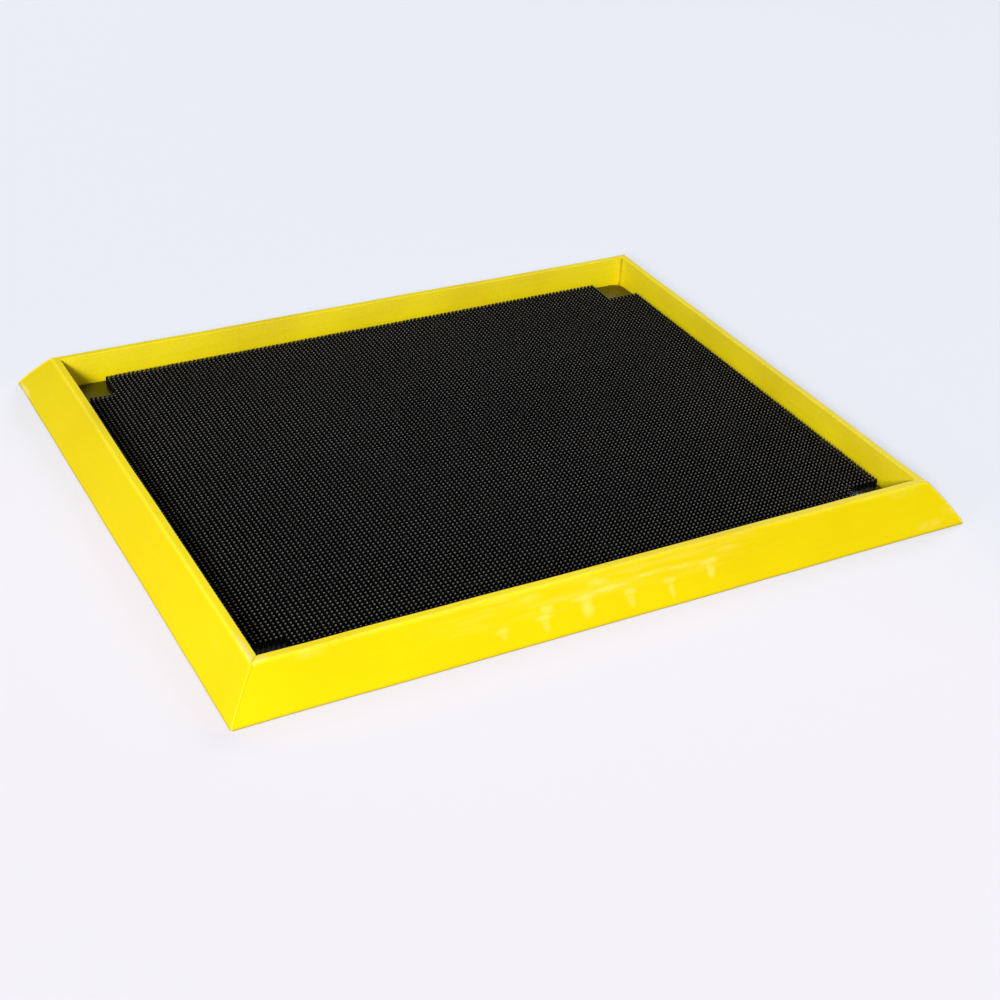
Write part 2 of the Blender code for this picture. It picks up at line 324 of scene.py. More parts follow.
# Wiped smears above them: place along X, height, half width, half height and strength
SMEARS = (
    (-0.1260, 0.0430, 0.0260, 0.0065, 0.34),
    (-0.1080, 0.0290, 0.0120, 0.0050, 0.38),
    (-0.0360, 0.0410, 0.0220, 0.0050, 0.46),
    (-0.0250, 0.0325, 0.0420, 0.0028, 0.50),
    (0.0300, 0.0355, 0.0300, 0.0026, 0.42),
    (0.0130, 0.0430, 0.0240, 0.0042, 0.28),
    (0.0730, 0.0345, 0.0250, 0.0028, 0.36),
    (0.1450, 0.0400, 0.0320, 0.0032, 0.26),
)
RAMP_MIDDLE_Y = -0.386
MARK_DEPTH = 0.022
HEAD_HALF_HEIGHT = 0.0042
TAIL_OVERLAP = 0.001

# How far the ragged edge of a splash strays, and the middle of a noise's colour
SPLASH_STRAY = (0.009, 0.0, 0.006)
NOISE_MIDDLE = (0.5, 0.5, 0.5)


def splash_marks():
    """The drips and smears on the front ramp as marks."""
    marks = []
    for x, head, head_half, foot, tail_half, strength in DRIPS:
        middle = (head + foot) / 2
        tail = head - middle + TAIL_OVERLAP
        marks.append(((x, RAMP_MIDDLE_Y, head), (head_half, MARK_DEPTH, HEAD_HALF_HEIGHT), strength))
        marks.append(((x, RAMP_MIDDLE_Y, middle), (tail_half, MARK_DEPTH, tail), strength))
    for x, height, half_width, half_height, strength in SMEARS:
        marks.append(((x, RAMP_MIDDLE_Y, height), (half_width, MARK_DEPTH, half_height), strength))
    return marks


def mark_mask(tree, position, marks, breakup):
    """Soft spots at these marks, broken up by a noise."""
    total = 0.0
    for place, reach, strength in marks:
        offset = add(tree, "ShaderNodeVectorMath", (position, place), operation="SUBTRACT")
        scaled = add(tree, "ShaderNodeVectorMath", (offset, reach), operation="DIVIDE")
        away = add(tree, "ShaderNodeVectorMath", (scaled,), "Value", operation="LENGTH")
        spot = add(tree, "ShaderNodeMapRange", (away, 1.0, 0.3, 0.0, strength),
                   interpolation_type="SMOOTHSTEP")
        total = add(tree, "ShaderNodeMath", (spot, total), operation="MAXIMUM")
    return add(tree, "ShaderNodeMath", (total, breakup), operation="MULTIPLY")


# Materials. A pattern's scale is its repeats in a metre: 7 gives clouds 140 mm across, 130 spots of 8 mm and
# 330 a skin of 3 mm. A map range takes its value, the range it comes from, and the range it goes to.


def extruded_pvc():
    """Flexible PVC as it leaves a die: satin, evenly coloured, with faint lines along the run of the rail."""
    finish = settings("finish")
    material, tree, position = new_surface("extruded_flexible_pvc")
    section = add(tree, "ShaderNodeUVMap", uv_map="section_map")
    zone = {name: add(tree, "ShaderNodeAttribute", attribute_name=name, output="Fac") for name in RAIL_ZONES}

    # Pigment settles in clouds, and the die leaves streaks along the rail
    clouds = add(tree, "ShaderNodeTexNoise", (position, 7.0, 3.0))
    streaks = add(tree, "ShaderNodeMapping", {"Vector": section, "Scale": (3.0, 190.0, 1.0)})
    streaks = add(tree, "ShaderNodeTexNoise", (streaks, 1.0, 2.0))
    depth = add(tree, "ShaderNodeMix", (0.2, clouds, streaks), data_type="FLOAT")
    depth = add(tree, "ShaderNodeMapRange", (depth, 0.42, 0.68, 0.0, 0.7))

    # A milky film over the upper ramp, wiped along the rail, and drips that ran down from it and dried
    film = add(tree, "ShaderNodeMapping", {"Vector": section, "Scale": (16.0, 170.0, 1.0)})
    film = add(tree, "ShaderNodeTexNoise", {"Vector": film, "Scale": 1.0, "Detail": 3.0, "Distortion": 0.4})
    film = add(tree, "ShaderNodeMapRange", (film, 0.38, 0.75, 0.0, 0.17), interpolation_type="SMOOTHSTEP")
    film = add(tree, "ShaderNodeMath", (film, zone["film_zone"]), operation="MULTIPLY")
    ragged = add(tree, "ShaderNodeTexNoise", (position, 130.0, 3.0), "Color")
    ragged = add(tree, "ShaderNodeVectorMath", (ragged, NOISE_MIDDLE), operation="SUBTRACT")
    strayed = add(tree, "ShaderNodeVectorMath", (ragged, SPLASH_STRAY, position), operation="MULTIPLY_ADD")
    drips = mark_mask(tree, strayed, splash_marks(), 1.0)
    splashed = add(tree, "ShaderNodeMath", (film, drips), operation="MAXIMUM")

    # The ridge and the lip are paler, and old adhesive and scuffs are at their own places
    grit = add(tree, "ShaderNodeTexNoise", (position, 260.0, 3.0))
    breakup = add(tree, "ShaderNodeMapRange", (grit, 0.36, 0.62, 0.0, 1.0))
    paled_edges = add(tree, "ShaderNodeMath", (zone["ridge_wear"], breakup), operation="MULTIPLY")
    paled_edges = add(tree, "ShaderNodeMath", (paled_edges, 0.35), operation="MULTIPLY")
    lumps = add(tree, "ShaderNodeMapRange", (grit, 0.3, 0.55, 0.35, 1.0))
    glue = mark_mask(tree, position, GLUE_MARKS, lumps)
    cloudy = add(tree, "ShaderNodeTexNoise", (position, 75.0, 2.0))
    thin = add(tree, "ShaderNodeMapRange", (cloudy, 0.35, 0.6, 0.0, 1.0))
    pale = mark_mask(tree, position, PALE_MARKS, thin)

    # Painted shade and traffic film on the ramps come first and scuffs last; painted shade and grime at the
    # toe lie between
    colour = finish.rail
    for share, tint in ((zone["tread"], finish.ramp_shaded), (depth, finish.rail_deep), (splashed, finish.smear),
                        (paled_edges, finish.smear), (zone["toe_wear"], finish.toe), (glue, finish.glue),
                        (pale, finish.smear)):
        colour = add(tree, "ShaderNodeMix", (share, colour, tint), data_type="RGBA")

    # Satin with duller splashes; the orange peel is 3 mm across, and die lines are drawn 5 mm apart, not 0.5
    peel = add(tree, "ShaderNodeTexNoise", (position, 330.0, 2.0))
    sheen = add(tree, "ShaderNodeMix", (0.5, peel, streaks), data_type="FLOAT")
    gloss = add(tree, "ShaderNodeMapRange", (sheen, 0.3, 0.7, 0.44, 0.52))
    dulled = add(tree, "ShaderNodeMath", (splashed, 0.3, gloss), operation="MULTIPLY_ADD")
    lines = add(tree, "ShaderNodeBump", {"Height": sheen, "Strength": 0.12, "Distance": 0.0002})
    relief = add(tree, "ShaderNodeBump",
                 {"Height": glue, "Strength": 0.5, "Distance": 0.0003, "Normal": lines})
    show(tree, Base_Color=colour, Roughness=dulled, IOR=1.53, Specular_IOR_Level=0.08, Normal=relief)
    return material


def welded_pvc():
    """PVC remelted by hot air: paler than the rails and glossier, with a skin that rippled as it set."""
    finish = settings("finish")
    material, tree, position = new_surface("hot_air_welded_pvc")
    clouds = add(tree, "ShaderNodeTexNoise", (position, 90.0, 3.0))
    shade = add(tree, "ShaderNodeMapRange", (clouds, 0.35, 0.65, 0.0, 1.0))
    colour = add(tree, "ShaderNodeMix", (shade, finish.weld, finish.ramp_shaded), data_type="RGBA")
    # Specks charred in the hot air, a millimetre or two across
    chars = add(tree, "ShaderNodeTexVoronoi", (position, 70.0), "Distance")
    char = add(tree, "ShaderNodeMapRange", (chars, 0.09, 0.05, 0.0, 0.7))
    colour = add(tree, "ShaderNodeMix", (char, colour, finish.char), data_type="RGBA")
    skin = add(tree, "ShaderNodeTexNoise", (position, 420.0, 2.0))
    gloss = add(tree, "ShaderNodeMapRange", (skin, 0.0, 1.0, 0.36, 0.50))
    relief = add(tree, "ShaderNodeBump", {"Height": skin, "Strength": 0.4, "Distance": 0.0003})
    show(tree, Base_Color=colour, Roughness=gloss, IOR=1.53, Specular_IOR_Level=0.2, Normal=relief)
    return material


def shaded_sealing_pvc():
    """Plastisol bead wiped into the basin's corners: dull and a little lumpy; its dark olive is painted shade
    of the crease it fills, with dirt in its hollow.
    """
    finish = settings("finish")
    material, tree, position = new_surface("wiped_pvc_plastisol")
    dirt = add(tree, "ShaderNodeTexNoise", (position, 55.0, 4.0))
    depth = add(tree, "ShaderNodeMapRange", (dirt, 0.35, 0.65, 0.0, 1.0))
    # Painted crease shade with dirt, lightened by a noise towards the deeper rail yellow
    colour = add(tree, "ShaderNodeMix", (depth, finish.seal, finish.rail_deep), data_type="RGBA")
    gloss = add(tree, "ShaderNodeMapRange", (dirt, 0.0, 1.0, 0.5, 0.7))
    relief = add(tree, "ShaderNodeBump", {"Height": dirt, "Strength": 0.3, "Distance": 0.0004})
    show(tree, Base_Color=colour, Roughness=gloss, IOR=1.5, Specular_IOR_Level=0.3, Normal=relief)
    return material


def calendered_pvc():
    """PVC sheet off heated rollers: a dull, fine pebble on a duller yellow, with brown stains of grime."""
    finish = settings("finish")
    material, tree, position = new_surface("calendered_pvc_sheet")
    pebble = add(tree, "ShaderNodeTexVoronoi", (position, 520.0), "Distance")
    grime = add(tree, "ShaderNodeTexNoise", (position, 9.0, 5.0, 0.6))
    stain = add(tree, "ShaderNodeMapRange", (grime, 0.48, 0.8, 0.0, 0.5))
    colour = add(tree, "ShaderNodeMix", (stain, finish.sheet, finish.grime), data_type="RGBA")
    gloss = add(tree, "ShaderNodeMapRange", (grime, 0.0, 1.0, 0.45, 0.62))
    relief = add(tree, "ShaderNodeBump", {"Height": pebble, "Strength": 0.35, "Distance": 0.0002})
    show(tree, Base_Color=colour, Roughness=gloss, IOR=1.53, Normal=relief)
    return material


def finger_rubber():
    """Nitrile rubber fingers as moulded: near black and satin; the grey tips are painted highlight, with some
    dust.
    """
    finish = settings("finish")
    material, tree, position = new_surface("moulded_nitrile_fingers")
    share = add(tree, "ShaderNodeAttribute", attribute_name="finger_share", output="Fac")
    tone = add(tree, "ShaderNodeAttribute", attribute_name="finger_tone", output="Fac")
    broad = add(tree, "ShaderNodeTexNoise", (position, 4.5, 3.0))
    # Grey tips: painted highlight on the domes, with some dust, varied by the tone noise
    worn = add(tree, "ShaderNodeMapRange", (share, 0.935, 1.0, 0.0, 1.0))
    uneven = add(tree, "ShaderNodeMix", (0.6, tone, broad), data_type="FLOAT")
    dust = add(tree, "ShaderNodeMapRange", (uneven, 0.25, 0.75, 0.55, 1.0))
    wear = add(tree, "ShaderNodeMath", (worn, dust), operation="MULTIPLY")
    colour = add(tree, "ShaderNodeMix", (wear, finish.rubber, finish.tip_highlight_and_dust), data_type="RGBA")
    gloss = add(tree, "ShaderNodeMapRange", (uneven, 0.0, 1.0, 0.30, 0.46))
    grain = add(tree, "ShaderNodeTexNoise", (position, 900.0, 1.0))
    relief = add(tree, "ShaderNodeBump", {"Height": grain, "Strength": 0.15, "Distance": 0.0001})
    show(tree, Base_Color=colour, Roughness=gloss, IOR=1.52, Specular_IOR_Level=0.12, Normal=relief)
    return material


def plain_rubber():
    """The same rubber where the mould was polished: smooth enough to mirror the yellow walls softly."""
    finish = settings("finish")
    material, tree, position = new_surface("moulded_nitrile_base")
    film = add(tree, "ShaderNodeTexNoise", (position, 38.0, 4.0, 0.6))
    dust = add(tree, "ShaderNodeMapRange", (film, 0.45, 0.8, 0.0, 0.25))
    colour = add(tree, "ShaderNodeMix", (dust, finish.rubber, finish.tip_highlight_and_dust), data_type="RGBA")
    gloss = add(tree, "ShaderNodeMapRange", (film, 0.0, 1.0, 0.20, 0.36))
    grain = add(tree, "ShaderNodeTexNoise", (position, 500.0, 2.0))
    relief = add(tree, "ShaderNodeBump", {"Height": grain, "Strength": 0.12, "Distance": 0.0001})
    show(tree, Base_Color=colour, Roughness=gloss, IOR=1.52, Normal=relief)
    return material


# The paper changes tone across a slanting band, from the first of these distances to the second
PAPER_SLANT = (0.596, 0.803, 0.0)
PAPER_TURN = (-0.35, 0.14)
PAPER_ALBEDO = 0.55


def paper_floor():
    """Matt white sweep paper, lit a little from beneath as on a light table, cooler towards the back."""
    stage = settings("stage")
    material, tree, position = new_surface("matt_sweep_paper")
    depth = add(tree, "ShaderNodeVectorMath", (position, PAPER_SLANT), "Value", operation="DOT_PRODUCT")
    back = add(tree, "ShaderNodeMapRange", (depth, *PAPER_TURN, 0.0, 1.0), interpolation_type="SMOOTHSTEP")
    tone = add(tree, "ShaderNodeMix", (back, stage.near_paper, stage.far_paper), data_type="RGBA")

    # The glow makes up what the lamps lose with distance, so that the paper keeps its tone to the far edge
    lit = stage.horizon * (1 + 2 * stage.zenith_share) / 3
    for _, lamp, _, level in softboxes(stage):
        offset = add(tree, "ShaderNodeVectorMath", (lamp, position), operation="SUBTRACT")
        ahead = add(tree, "ShaderNodeVectorMath", (offset, lamp), "Value", operation="DOT_PRODUCT")
        ahead = add(tree, "ShaderNodeMath", (ahead, 0.0), operation="MAXIMUM")
        away = add(tree, "ShaderNodeVectorMath", (offset,), "Value", operation="LENGTH")
        spread = add(tree, "ShaderNodeMath", (away, 4.0), operation="POWER")
        share = add(tree, "ShaderNodeMath", (ahead, spread), operation="DIVIDE")
        reach = level * lamp.length * lamp.z
        lit = add(tree, "ShaderNodeMath", (share, reach, lit), operation="MULTIPLY_ADD")
    lit = add(tree, "ShaderNodeMath", (lit, PAPER_ALBEDO), operation="MULTIPLY")
    glow = add(tree, "ShaderNodeVectorMath", (tone, lit), operation="SUBTRACT")
    show(tree, Base_Color=(PAPER_ALBEDO,) * 3, Roughness=0.95, Specular_IOR_Level=0.0, Emission_Color=glow,
         Emission_Strength=1.0)
    return material


FINISHES = {
    "rail_pvc": extruded_pvc,
    "weld_pvc": welded_pvc,
    "seal_pvc": shaded_sealing_pvc,
    "sheet_pvc": calendered_pvc,
    "mat_fingers": finger_rubber,
    "mat_rubber": plain_rubber,
    "paper": paper_floor,
}
made_finishes = {}


def finish_named(name):
    """The material for a finish, made the first time that a piece asks for it."""
    if name not in made_finishes:
        made_finishes[name] = FINISHES[name]()
    return made_finishes[name]


# Mesh helpers


def rounded(corners):
    """The outline through (x, y, radius) corners, with an arc at each corner that has a radius."""
    points = []
    for i, (x, y, radius) in enumerate(corners):
        corner = Vector((x, y))
        if radius == 0:
            points.append(corner)
            continue
        before = (Vector(corners[i - 1][:2]) - corner).normalized()
        after = (Vector(corners[(i + 1) % len(corners)][:2]) - corner).normalized()
        half_angle = before.angle(after) / 2
        centre = corner + (before + after).normalized() * radius / math.sin(half_angle)
        start = corner + before * radius / math.tan(half_angle) - centre
        end = corner + after * radius / math.tan(half_angle) - centre
        start_angle = math.atan2(start.y, start.x)
        sweep = math.remainder(math.atan2(end.y, end.x) - start_angle, math.tau)
        for step in range(ARC_STEPS + 1):
            angle = start_angle + sweep * step / ARC_STEPS
            points.append(centre + radius * Vector((math.cos(angle), math.sin(angle))))
    return points


def fill(work, axes, loop):
    """Covers a flat loop of vertices with triangles, worked out in these two axes."""
    flat = [Vector([vert.co[axis] for axis in axes]) for vert in loop]
    _, _, triangles, sources, _, _ = delaunay_2d_cdt(flat, [], [list(range(len(loop)))], INSIDE_OUTLINE, NEAR)
    for triangle in triangles:
        work.faces.new([loop[sources[i][0]] for i in triangle])


def loft(work, rings, axes):
    """Walls from each ring of points to the next, and flat caps seen along these axes."""
    loops = [[work.verts.new(point) for point in ring] for ring in rings]
    for low, high in zip(loops, loops[1:]):
        for i in range(len(low)):
            work.faces.new((low[i - 1], low[i], high[i], high[i - 1]))
    fill(work, axes, loops[0])
    fill(work, axes, loops[-1])
    return loops


def placed(x, y, turn):
    return Matrix.Translation((x, y, 0.0)) @ Matrix.Rotation(turn, 4, "Z")


def add_piece(name, work, matrix=None):
    """An object at the origin whose mesh holds the work, moved by this matrix."""
    if matrix:
        work.transform(matrix)
    bmesh.ops.recalc_face_normals(work, faces=work.faces)
    mesh = bpy.data.meshes.new(name)
    work.to_mesh(mesh)
    work.free()
    mesh.shade_smooth()
    mesh.set_sharp_from_angle(angle=SHARP_ANGLE)
    obj = bpy.data.objects.new(name, mesh)
    bpy.context.scene.collection.objects.link(obj)
    return obj


def lofted(name, rings, axes, matrix=None):
    """A piece with walls through these rings and flat ends."""
    work = bmesh.new()
    loft(work, rings, axes)
    return add_piece(name, work, matrix)


def dress(obj, finish, body, *nodes, slot=None):
    """Gives a piece its finish, its body and the CAD nodes that it stands for."""
    obj.data.materials.clear()
    obj.data.materials.append(finish_named(finish))
    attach(obj, body)
    if nodes:
        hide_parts(*nodes)


# The noise seldom reaches its limits, so it is raised to fill them; each seed reads a row of its own
DRIFT_GAIN = 1.6
DRIFT_ROW = 7.31
DRIFT_LAYER = 0.5


def drift(along, seed, spacing):
    """A smooth wander from -1 to 1 at this distance along a piece."""
    return max(-1.0, min(1.0, DRIFT_GAIN * noise.noise((along / spacing, seed * DRIFT_ROW, DRIFT_LAYER))))


def smooth_step(value, low, high):
    share = max(0.0, min(1.0, (value - low) / (high - low)))
    return share * share * (3 - 2 * share)


# Border rails


def ramp_point(share, proud=0.0):
    """The (inset, height) at this share of the ramp from toe to ridge, and this far out from its surface."""
    rails = settings("rails")
    rise = TRAY_SIZE.z - rails.toe_thickness
    slope = math.hypot(rails.ramp_run, rise)
    lift = 4 * rails.ramp_crown * share * (1 - share) + proud
    inset = rails.ramp_run * share - lift * rise / slope
    return inset, rails.toe_thickness + rise * share + lift * rails.ramp_run / slope


def rail_section(groove_count, land_sink):
    """The (inset, height) outline up the ramp, over the land, down the inner wall and back underneath."""
    rails = settings("rails")
    rebate_edge = RAIL_WIDTH - rails.rebate_width
    rebate_top = FLOOR_SHEET[1].z + rails.rebate_gap
    corners = [(0.0, 0.0, 0), (0.0, rails.toe_thickness, rails.toe_radius)]
    for step in range(1, RAMP_STEPS):
        corners.append((*ramp_point(step / RAMP_STEPS), 0))
    corners.append((rails.ramp_run, TRAY_SIZE.z, rails.ridge_radius))
    corners.append(((rails.ramp_run + RAIL_WIDTH) / 2, TRAY_SIZE.z - land_sink, 0))
    corners.append((RAIL_WIDTH, TRAY_SIZE.z, rails.lip_radius))
    corners.append((RAIL_WIDTH, rebate_top, 0))
    corners.append((rebate_edge, rebate_top, 0))
    corners.append((rebate_edge, 0.0, 0))
    for groove in range(groove_count, 0, -1):
        middle = rebate_edge * groove / (groove_count + 1)
        for side, height in ((1, 0.0), (1, 1.0), (-1, 1.0), (-1, 0.0)):
            corners.append((middle + side * rails.groove_width / 2, height * rails.groove_depth, 0))
    return rounded(corners)


# Lengths of the waves in which a rail's ridge, toe and top stray, and how straying sets in from its ends
RIDGE_WAVE = 0.11
TOE_WAVE = 0.07
TOP_WAVE = 0.16
SETTLING = (0.004, 0.070)
# How far paling reaches from the ridge and the lip, how far painted shade reaches from the toe, and the
# film's fade below the ridge
RIDGE_REACH = 0.003
LIP_REACH = 0.002
TOE_REACH = 0.0013
RIDGE_FADE = 0.004
# Where the film sets in: with height, and along the front rail from its left and from its right
FILM_RISE = (0.022, 0.032)
FILM_FROM_LEFT = (-0.30, -0.16)
FILM_FROM_RIGHT = (-0.24, -0.10)
FILM_ELSEWHERE = 0.25


def nearness(point, place, reach):
    return math.exp(-((Vector(point) - Vector(place)).length / reach) ** 2)


def make_rail(name, x, y, turn, seed):
    rails = settings("rails")
    section = rail_section(rails.groove_count, rails.land_sink)
    half_length = (TRAY_SIZE.x if y else TRAY_SIZE.y) / 2
    setback = settings("welds").web_thickness / 2 * DIAGONAL
    stations = round(2 * half_length / STATION_SPACING)
    around = [0.0]
    for before, after in zip(section, section[1:]):
        around.append(around[-1] + (after - before).length)

    def wandered(share, inset, height):
        """A section point at this share of the rail's length, strayed as soft extrusion does."""
        along = share * (half_length - inset - setback)
        settled = smooth_step((1 - abs(share)) * half_length, *SETTLING)
        up = height / TRAY_SIZE.z
        inset += settled * up * rails.ridge_wander * drift(along, seed, RIDGE_WAVE)
        inset += settled * (1 - up) * rails.toe_wander * (1 + drift(along, seed + 1, TOE_WAVE)) / 2
        height -= settled * up * rails.top_wander * (1 + drift(along, seed + 2, TOP_WAVE)) / 2
        return along, max(0.0, inset), height

    work = bmesh.new()
    layers = {key: work.verts.layers.float.new(key) for key in RAIL_ZONES}
    section_map = work.loops.layers.uv.new("section_map")
    rings = []
    for station in range(stations + 1):
        share = 2 * station / stations - 1
        rings.append([wandered(share, *point) for point in section])
    loops = loft(work, rings, SIDE_ON)

    lip = (RAIL_WIDTH, TRAY_SIZE.z)
    ridge = (rails.ramp_run, TRAY_SIZE.z)
    for loop in loops:
        for vert, point in zip(loop, section):
            ramp = smooth_step(rails.ramp_run - point.x, 0.0, RIDGE_FADE)
            stretch = smooth_step(vert.co.x, *FILM_FROM_LEFT) * smooth_step(-vert.co.x, *FILM_FROM_RIGHT)
            # Share of the ramp, where painted shade deepens the yellow
            vert[layers["tread"]] = ramp
            at_lip = nearness(point, lip, LIP_REACH)
            vert[layers["ridge_wear"]] = max(nearness(point, ridge, RIDGE_REACH), at_lip)
            # Painted contact shade, with some grime, at the toe's foot
            vert[layers["toe_wear"]] = nearness(point, (0.0, 0.0), TOE_REACH)
            upper = ramp * smooth_step(point.y, *FILM_RISE)
            vert[layers["film_zone"]] = upper * (stretch if name == "front" else FILM_ELSEWHERE)

    around_at = {}
    for loop in loops:
        for vert, distance in zip(loop, around):
            around_at[vert] = distance
    for face in work.faces:
        crosses_seam = {loops[0][0], loops[0][-1]} <= set(face.verts)
        for corner in face.loops:
            distance = around[-1] if crosses_seam else around_at[corner.vert]
            corner[section_map].uv = (corner.vert.co.x + seed, distance)
    return add_piece(f"rail_{name}", work, placed(x * TRAY_SIZE.x / 2, y * TRAY_SIZE.y / 2, turn))


class SPILLTRAY_OT_rails(bpy.types.Operator):
    """Build the four extruded border rails"""

    bl_idname = "spill_tray.rails"
    bl_label = "Border rails"

    def execute(self, context):
        for quarter, (name, x, y) in enumerate(SIDES):
            rail = make_rail(name, x, y, quarter * QUARTER_TURN, 4 * quarter + 3)
            dress(rail, "rail_pvc", "tray", f"border_{name}")
        return {"FINISHED"}


# Mitre welds


def tree_inputs(tree, kinds):
    """Gives a tree these named inputs, and returns the socket of each one inside the tree."""
    for name, kind in kinds.items():
        tree.interface.new_socket(name, in_out="INPUT", socket_type="NodeSocket" + kind)
    tree.interface.new_socket("Geometry", in_out="OUTPUT", socket_type="NodeSocketGeometry")
    group = tree.nodes.new("NodeGroupInput")
    return {name: group.outputs[name] for name in kinds}


def grown(name, tree, values, source=None):
    """A plain mesh object made by a node tree from these named values, and from the source mesh."""
    seedling = bpy.data.objects.new(name + "_source", source or bpy.data.meshes.new(name))
    bpy.context.scene.collection.objects.link(seedling)
    modifier = seedling.modifiers.new("shape", "NODES")
    modifier.node_group = tree
    for item in tree.interface.items_tree:
        if item.in_out == "INPUT" and item.name in values:
            modifier[item.identifier] = values[item.name]
    shape = seedling.evaluated_get(bpy.context.evaluated_depsgraph_get())
    mesh = bpy.data.meshes.new_from_object(shape)
    bpy.data.objects.remove(seedling)
    mesh.name = name
    obj = bpy.data.objects.new(name, mesh)
    bpy.context.scene.collection.objects.link(obj)
    return obj


# A bead's narrowest share at its foot and at its start, and the share of its length in which it widens
BEAD_FOOT = 0.45
BEAD_NOSE = 0.4
BEAD_OPENING = 0.05
BEAD_SIDES = 14
BEAD_STEP = 0.0008
BEAD_SEED_STEP = 3.7
# Where a bead starts, and how much of the ramp it runs down, as shares from toe to ridge
BEAD_START = 0.975
BEAD_RUN = 0.925
# Under the top, the stretch in which a weld's land sinks
WEB_SINK_BAND = 0.002


def bead_tree():
    """A flattened bead laid along a path: it swells where the welder paused, and tapers out at its ends."""
    tree = bpy.data.node_groups.new("weld_bead", "GeometryNodeTree")
    given = tree_inputs(tree, {"Path": "Geometry", "Width": "Float", "Height": "Float", "Ripple": "Float",
                               "Ripple Spacing": "Float", "Step": "Float", "Seed": "Float",
                               "Material": "Material"})
    path = add(tree, "GeometryNodeMeshToCurve", {"Mesh": given["Path"]})
    path = add(tree, "GeometryNodeResampleCurve", {"Curve": path, "Length": given["Step"]}, mode="LENGTH")
    path = add(tree, "GeometryNodeSetCurveNormal", {"Curve": path}, mode="Z_UP")

    share = add(tree, "GeometryNodeSplineParameter", output="Factor")
    length = add(tree, "GeometryNodeSplineParameter", output="Length")
    narrowing = add(tree, "ShaderNodeMapRange", {"Value": share, "To Min": 1.0, "To Max": BEAD_FOOT})
    start = add(tree, "ShaderNodeMapRange", {"Value": share, "From Max": BEAD_OPENING, "To Min": BEAD_NOSE},
                interpolation_type="SMOOTHSTEP")
    taper = add(tree, "ShaderNodeMath", (narrowing, start), operation="MULTIPLY")
    turns = add(tree, "ShaderNodeMath", (length, given["Ripple Spacing"]), operation="DIVIDE")
    pauses = add(tree, "ShaderNodeTexNoise",
                 {"W": turns, "Scale": 1.0, "Detail": 2.0, "Vector": given["Seed"]}, noise_dimensions="4D")
    swell = add(tree, "ShaderNodeMapRange", {"Value": pauses, "To Min": -1.0, "To Max": 1.0})
    swell = add(tree, "ShaderNodeMath", (swell, given["Ripple"], 1.0), operation="MULTIPLY_ADD")
    scale = add(tree, "ShaderNodeMath", (swell, taper), operation="MULTIPLY")

    half_width = add(tree, "ShaderNodeMath", (given["Width"], 0.5), operation="MULTIPLY")
    profile = add(tree, "GeometryNodeCurvePrimitiveCircle", {"Resolution": BEAD_SIDES, "Radius": half_width})
    flatness = add(tree, "ShaderNodeMath", (given["Height"], half_width), operation="DIVIDE")
    squeeze = add(tree, "ShaderNodeCombineXYZ", (1.0, flatness, 1.0))
    profile = add(tree, "GeometryNodeTransform", {"Geometry": profile, "Scale": squeeze})
    bead = add(tree, "GeometryNodeCurveToMesh",
               {"Curve": path, "Profile Curve": profile, "Scale": scale, "Fill Caps": True})
    bead = add(tree, "GeometryNodeSetShadeSmooth", {"Geometry": bead})
    bead = add(tree, "GeometryNodeRealizeInstances", {"Geometry": bead})
    bead = add(tree, "GeometryNodeSetMaterial", {"Geometry": bead, "Material": given["Material"]})
    add(tree, "NodeGroupOutput", {"Geometry": bead})
    return tree


def hip_path(matrix):
    """The line down a hip, from just inside the ridge to just short of the toe."""
    work = bmesh.new()
    verts = []
    for step in range(RAMP_STEPS + 1):
        inset, height = ramp_point(BEAD_START - BEAD_RUN * step / RAMP_STEPS)
        verts.append(work.verts.new(matrix @ Vector((inset * DIAGONAL, 0.0, height))))
    for start, end in zip(verts, verts[1:]):
        work.edges.new((start, end))
    mesh = bpy.data.meshes.new("hip_path")
    work.to_mesh(mesh)
    work.free()
    return mesh


def make_weld_web(name, matrix):
    """The trimmed weld between two rail ends, flush with the ramps and a hair under the lands."""
    welds = settings("welds")
    section = rail_section(0, settings("rails").land_sink)
    rings = []
    for across in (-welds.web_thickness / 2, 0.0, welds.web_thickness / 2):
        nose = abs(across) + welds.toe_cut
        ring = []
        for inset, height in section:
            sunk = height - welds.web_sink * smooth_step(height, TRAY_SIZE.z - WEB_SINK_BAND, TRAY_SIZE.z)
            ring.append((max(inset * DIAGONAL, nose), across, sunk))
        rings.append(ring)
    return lofted(name, rings, END_ON, matrix)


class SPILLTRAY_OT_mitre_welds(bpy.types.Operator):
    """Build the weld in each mitre joint and the bead down its hip"""

    bl_idname = "spill_tray.mitre_welds"
    bl_label = "Mitre welds"

    def execute(self, context):
        welds = settings("welds")
        tree = bead_tree()
        for quarter, (name, x, y) in enumerate(CORNERS):
            matrix = placed(x * TRAY_SIZE.x / 2, y * TRAY_SIZE.y / 2, (quarter + 0.5) * QUARTER_TURN)
            web = make_weld_web(f"weld_web_{name}", matrix)
            bead = grown(f"weld_bead_{name}", tree, {
                "Width": welds.bead_width, "Height": welds.bead_height, "Ripple": welds.ripple,
                "Ripple Spacing": welds.ripple_spacing, "Step": BEAD_STEP, "Seed": BEAD_SEED_STEP * quarter,
                "Material": finish_named("weld_pvc"),
            }, hip_path(matrix))
            dress(web, "weld_pvc", "tray", f"mitre_weld_{name}")
            dress(bead, "weld_pvc", "tray")
        return {"FINISHED"}


# Seals and floor sheet


# Lengths of the waves in which the seals stray, the first of the seeds for each kind, and the spacing of
# the rings up a corner
FLOOR_SEAL_WAVE = 0.03
CORNER_SEAL_WAVE = 0.012
FLOOR_SEAL_SEED = 20
CORNER_SEAL_SEED = 40
CORNER_RING_SPACING = 0.0015


